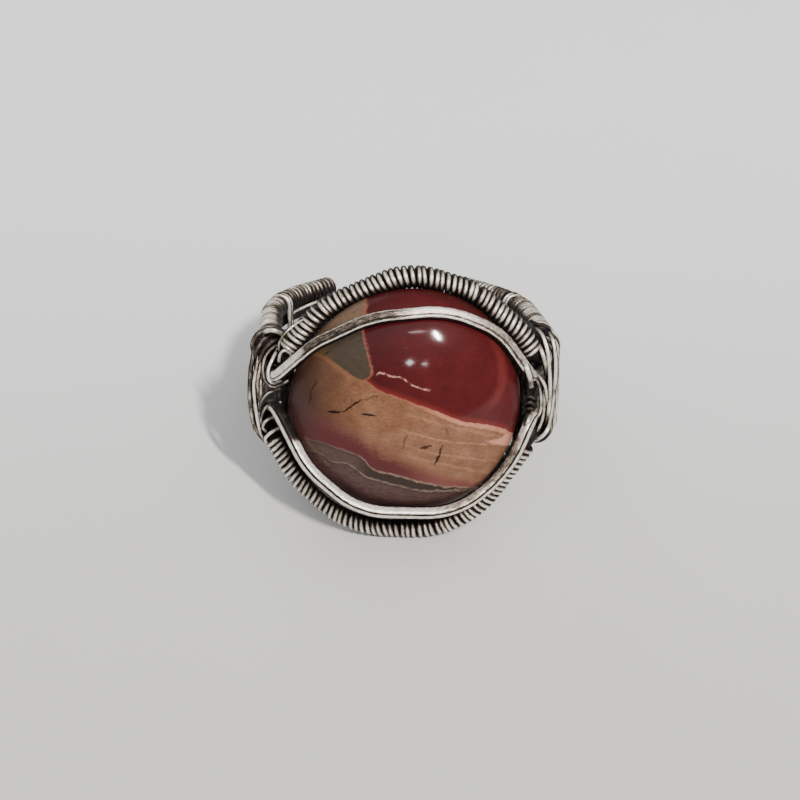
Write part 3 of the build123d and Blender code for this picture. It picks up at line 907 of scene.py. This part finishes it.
def lower_bands(m, at, colour):
    """Maroon at the foot of the tan, grey between two pale lines, then plum."""
    maroon_top, grey_top, grey_low = (line_at(m, at, points) for points in (MAROON_TOP, GREY_TOP, GREY_LOW))
    below = m.over(m.minus(at.y, maroon_top), m.math("MAXIMUM", m.minus(grey_top, maroon_top), 4))
    below = m.step(m.plus(below, m.times(m.minus(at.mottle, 0.5), 0.9)), 0, 0.75)
    maroon = m.mix(m.step(at.px, 395, 450), ink(86, 34, 36), ink(122, 68, 62))
    colour = m.mix(below, colour, maroon)
    left = m.times(m.step(at.px, 290, 326, 0.92, 0), m.step(at.y, 372, 400))
    colour = m.mix(left, colour, ink(72, 50, 47))
    grey = m.mix(at.mottle, ink(52, 38, 33), ink(100, 78, 68))
    grey = m.mix(m.step(at.px, 352, 372), grey, ink(52, 36, 29))
    colour = m.mix(m.step(m.minus(at.y, grey_top), -2, 2), colour, grey)
    under = m.minus(at.y, grey_low)
    lowest = m.step(m.plus(under, m.step(at.px, 340, 430, 0, 10)), 12, 32)
    plum = m.mix(lowest, ink(88, 64, 60), ink(52, 33, 33))
    plum = m.mix(m.times(m.step(at.mottle, 0.4, 0.62), 0.6), plum, ink(52, 34, 36))
    colour = m.mix(m.step(under, -1, 1.2), colour, plum)
    for edge, width, strength, start in ((grey_top, 1.9, 0.66, 316), (grey_low, 1.7, 0.56, 296)):
        there = m.times(m.step(m.minus(at.px, start), 0, 70, 0.12, 1), at.pale)
        pale = m.times(m.step(m.off(at.y, edge), 0.2, width, strength, 0), there)
        colour = m.mix(pale, colour, ink(154, 132, 115))
        under = m.minus(at.y, edge)
        dark = m.times(m.step(under, 0.6, 4, 0.5, 0), m.step(under, 0.2, 1))
        colour = m.mix(dark, colour, ink(40, 26, 24))
    return colour


def green_corner(m, at, red_side, colour):
    low, left = line_at(m, at, CORNER_LOW), m.minus(red_side, at.x)
    inside = m.times(m.step(m.minus(low, at.y), -1, 1.6), m.step(left, -1, 1))
    rim = m.step(m.off(at.y, m.plus(low, 3)), 0.5, 4.5, 0.35, 0)
    colour = m.mix(m.times(rim, m.step(left, -2, 3)), colour, ink(146, 98, 66))
    tone = m.plus(m.times(at.mottle, 0.7), m.times(at.fine, 0.3))
    green = m.mix(tone, ink(44, 38, 33), ink(92, 78, 64))
    pale = m.mix(at.mottle, ink(78, 60, 48), ink(142, 114, 92))
    colour = m.mix(inside, colour, m.mix(m.step(at.py, 322, 334), pale, green))
    return m.mix(m.times(inside, m.step(at.px, 338, 314, 0, 0.8)), colour, ink(108, 80, 58))


def red_field(m, at, red_side, colour):
    """The red field, its pink rim, pale arc and broken vein."""
    edge = line_at(m, at, RED_EDGE)
    right, above = m.minus(at.x, red_side), m.minus(edge, at.y)
    wide = m.step(at.px, 400, 440, 2.2, 4.8)
    fringe = m.step(m.over(m.minus(at.y, edge), wide), 0.75, 1.1, 1, 0)
    fringe = m.times(m.times(fringe, m.step(right, -2.2, 0.2)), m.step(at.mottle, 0.3, 0.62, 0.45, 1))
    pink = m.mix(m.step(at.px, 400, 450), ink(150, 92, 74), ink(204, 136, 112))
    colour = m.mix(fringe, colour, pink)
    tone = m.plus(m.times(at.soft, 0.4), m.plus(m.times(at.fine, 0.2), m.times(at.mottle, 0.4)))
    red = m.mix(tone, ink(44, 11, 14), ink(112, 38, 39))
    red = m.mix(m.step(at.px, 362, 440, 0.42, 0), red, ink(44, 16, 18))
    arc = m.off(m.radius(m.minus(at.x, ARC_MIDDLE[0]), m.minus(at.y, ARC_MIDDLE[1])), ARC_RADIUS)
    arc = m.times(m.step(arc, 1, 7, 0.26, 0), m.step(at.x, 480, 500))
    red = m.mix(arc, red, ink(150, 66, 62))
    red = m.mix(m.step(above, 0, 8, 0.4, 0), red, ink(150, 58, 50))
    rim = m.times(m.step(right, 0, 3.6, 0.7, 0), m.step(at.mottle, 0.35, 0.6, 0.3, 1))
    red = m.mix(rim, red, ink(150, 84, 74))
    colour = m.mix(m.times(m.step(right, -0.6, 0.9), m.step(above, -0.6, 0.9)), colour, red)
    vein = m.step(m.off(at.y, line_at(m, at, VEIN)), 0.3, 1.7, 0.9, 0)
    ends = m.times(m.step(at.px, 375, 379), m.step(at.px, 426, 432, 1, 0))
    broken = m.step(m.noise(at.mm, 5, 3, 0.6), 0.4, 0.5)
    return m.mix(m.times(m.times(vein, ends), broken), colour, ink(206, 150, 132))


def cracks(m, at):
    """How deep in a crack a point is: short lines, widest halfway."""
    deepest = None
    for x0, y0, x1, y1, width, depth in CRACKS:
        length = hypot(x1 - x0, y1 - y0)
        ux, uy = (x1 - x0) / length, (y1 - y0) / length
        dx, dy = m.minus(at.x, x0), m.minus(at.y, y0)
        along = m.plus(m.times(dx, ux), m.times(dy, uy))
        held = m.math("MINIMUM", m.math("MAXIMUM", along, 0), length)
        away = m.radius(m.minus(along, held), m.minus(m.times(dx, uy), m.times(dy, ux)))
        taper = m.plus(m.math("SINE", m.times(held, pi / length)), 0.5)
        crack = m.step(m.over(away, taper), 0.2 * width, 0.75 * width + 0.5, depth, 0)
        deepest = crack if deepest is None else m.math("MAXIMUM", deepest, crack)
    return deepest


def stone_material():
    """Polished jasper."""
    m = Nodes("banded_jasper")
    at = stone_places(m)
    red_side = m.curve(at.y, RED_SIDE, PIXEL_LOW, PIXEL_HIGH)
    colour = green_corner(m, at, red_side, lower_bands(m, at, tan_field(m, at)))
    colour = red_field(m, at, red_side, colour)
    # the light fades towards the stone's edge
    reach = m.radius(m.over(m.minus(at.px, STONE_MIDDLE[0]), STONE_REACH[0]),
                     m.over(m.minus(at.py, STONE_MIDDLE[1]), STONE_REACH[1]))
    colour = m.mix(m.step(reach, 0.92, 1.02, 0, 0.45), colour, ink(34, 18, 16))
    dark = cracks(m, at)
    colour = m.mix(m.times(dark, 0.95), colour, ink(18, 9, 8))
    grain = m.step(m.noise(at.mm, 24, 2, 0.6), 0.6, 0.74, 0, 0.3)
    colour = m.mix(grain, colour, ink(60, 30, 28))
    m.feed(m.shader.inputs["Base Color"], m.vector("MULTIPLY", colour, (DIMMED,) * 3))
    rough = m.math("MAXIMUM", m.times(dark, 0.5), m.step(reach, 0.74, 0.92, 0.06, 0.3))
    m.feed(m.shader.inputs["Roughness"], m.plus(m.times(at.fine, 0.06), rough))
    gleam = m.times(m.step(reach, 0.74, 0.92, 0.36, 0.1), m.minus(1, m.times(dark, 0.9)))
    m.feed(m.shader.inputs["Specular IOR Level"], gleam)
    m.shader.inputs["IOR"].default_value = 1.4
    pits = m.step(m.noise(at.mm, 5, 2, 0.5), 0.7, 0.78, 0, 1)
    m.bump(0.5, 3e-5, m.minus(m.times(at.fine, 0.06), m.math("MAXIMUM", m.times(pits, 0.5), dark)))
    return m.material


# Rings of the dome, points in a ring, and the profile behind the widest place: share of the outline, depth
DOME_RINGS, RING_POINTS = 56, 220
BACK_PROFILE = [(1, 0.12), (0.997, 0.3), (0.985, 0.42), (0.93, 0.75), (BACK_SHARE + 0.012, BACK - 0.11),
                (BACK_SHARE - 0.01, BACK - 0.02), (BACK_SHARE - 0.05, BACK), (0.6, BACK), (0.3, BACK)]


def cabochon():
    """The stone in rings, from the top of the dome to the middle of the back."""
    turn = np.linspace(0, 2 * pi, RING_POINTS, endpoint=False)
    outline = [(sin(a), -DOME * cos(a)) for a in np.linspace(0, pi / 2, DOME_RINGS)[1:]] + BACK_PROFILE
    points = [(0, -DOME, -STONE_DROP)]
    for share, y in outline:
        a, b = share * STONE_LONG / 2 * np.cos(turn), share * STONE_SHORT / 2 * np.sin(turn)
        x = a * cos(STONE_TURN) - b * sin(STONE_TURN)
        z = a * sin(STONE_TURN) + b * cos(STONE_TURN) - STONE_DROP
        points += list(zip(x, np.full(RING_POINTS, y), z))
    points.append((0, BACK, -STONE_DROP))
    around = [(j, (j + 1) % RING_POINTS) for j in range(RING_POINTS)]
    faces = [(0, 1 + j, 1 + k) for j, k in around]
    for ring in range(len(outline) - 1):
        a = 1 + ring * RING_POINTS
        b = a + RING_POINTS
        faces += [(a + j, b + j, b + k, a + k) for j, k in around]
    a = 1 + (len(outline) - 1) * RING_POINTS
    faces += [(a + j, len(points) - 1, a + k) for j, k in around]
    plain = np.zeros(len(points))
    surface = {"points": np.array(points), "faces": faces, "along": plain, "round": plain}
    return with_shine(surface, plain + 1, 0)


make("jasper_cabochon", [cabochon()], stone_material(), ["stone"])

# Floor: darker near the camera, a painted shadow, paler further off, just under the ring
FLOOR_HALF, FLOOR_Z = 1.5, -2e-5
floor_mesh = bpy.data.meshes.new("floor")
corners = [(x * FLOOR_HALF, y * FLOOR_HALF, FLOOR_Z) for x, y in ((-1, -1), (1, -1), (1, 1), (-1, 1))]
floor_mesh.from_pydata(corners, [], [(0, 1, 2, 3)])
added("floor", floor_mesh)
f = Nodes("pale_floor")
f_where = f.add("TexCoord").outputs["Object"]
f_far = f.step(f.add("SeparateXYZ", [f_where]).outputs["Y"], -0.04, 0.05)
f_colour = f.mix(f_far, ink(196, 195, 191), ink(243, 244, 247))
f_cloud = f.times(f.noise(f_where, 28, 4, 0.55), 0.4)
f.feed(f.shader.inputs["Base Color"], f.mix(f_cloud, f_colour, ink(228, 228, 226)))
f.shader.inputs["Roughness"].default_value = 0.75
floor_mesh.materials.append(f.material)

# Studio: a soft grey surround, by (height, grey)
SKY_GREYS = [(0, 0.2), (1, 0.42), (0.5, 0.26)]
SKY_BLUE, SKY_STRENGTH = 1.02, 1.3
world = bpy.data.worlds.new("studio")
bpy.context.scene.world = world
world.use_nodes = True
sky = world.node_tree
way_up = sky.nodes.new("ShaderNodeSeparateXYZ")
sky.links.new(sky.nodes.new("ShaderNodeTexCoord").outputs["Generated"], way_up.inputs[0])
shade = sky.nodes.new("ShaderNodeValToRGB")
sky.links.new(way_up.outputs["Z"], shade.inputs[0])
elements = shade.color_ramp.elements
for element, (position, grey) in zip([elements[0], elements[1], elements.new(0.5)], SKY_GREYS):
    element.position, element.color = position, (grey, grey, grey * SKY_BLUE, 1)
sky.links.new(shade.outputs[0], sky.nodes["Background"].inputs["Color"])
sky.nodes["Background"].inputs["Strength"].default_value = SKY_STRENGTH


def face_ring(thing, way, distance):
    """Stands a lamp or the camera off the ring's origin, facing it."""
    thing.location = Vector(SHIFT / 1000) + way * distance
    thing.rotation_mode = "QUATERNION"
    thing.rotation_quaternion = way.to_track_quat("Z", "Y")


def lamp(name, azimuth, elevation, distance, wide, tall, power, colour):
    """An oval light that faces the ring, by degrees round from the front and up, metres and watts."""
    data = bpy.data.lights.new(name, "AREA")
    data.shape, data.size, data.size_y, data.energy, data.color = "ELLIPSE", wide, tall, power, colour
    a, e = radians(azimuth), radians(elevation)
    face_ring(added(name, data), Vector((sin(a) * cos(e), -cos(a) * cos(e), sin(e))), distance)


lamp("key", 29.5, 52.5, 0.9, 0.028, 0.13, 9.4, (1, 0.975, 0.94))
lamp("second", 1, 34.5, 0.9, 0.034, 0.034, 0.35, (1, 0.98, 0.95))
lamp("third", 11, 32.5, 0.9, 0.022, 0.022, 0.12, (1, 0.98, 0.95))
lamp("streak", 9, 58.5, 0.9, 0.19, 0.012, 0.3, (1, 0.86, 0.83))
lamp("behind", 205, 24, 1.1, 0.6, 0.6, 2, (0.97, 0.985, 1))

# Camera, as the photograph's
SENSOR = 36
camera = added("camera", bpy.data.cameras.new("camera"))
bpy.context.scene.camera = camera
camera.data.sensor_width = SENSOR
camera.data.lens = SENSOR * FOCAL / IMAGE
camera.data.shift_x = -(AIM[0] - IMAGE / 2) / IMAGE
camera.data.shift_y = (AIM[1] - IMAGE / 2) / IMAGE
camera.data.clip_start, camera.data.clip_end = 0.005, 10
face_ring(camera, Vector((0, -cos(SIGHT), sin(SIGHT))), VIEW_DISTANCE / 1000)
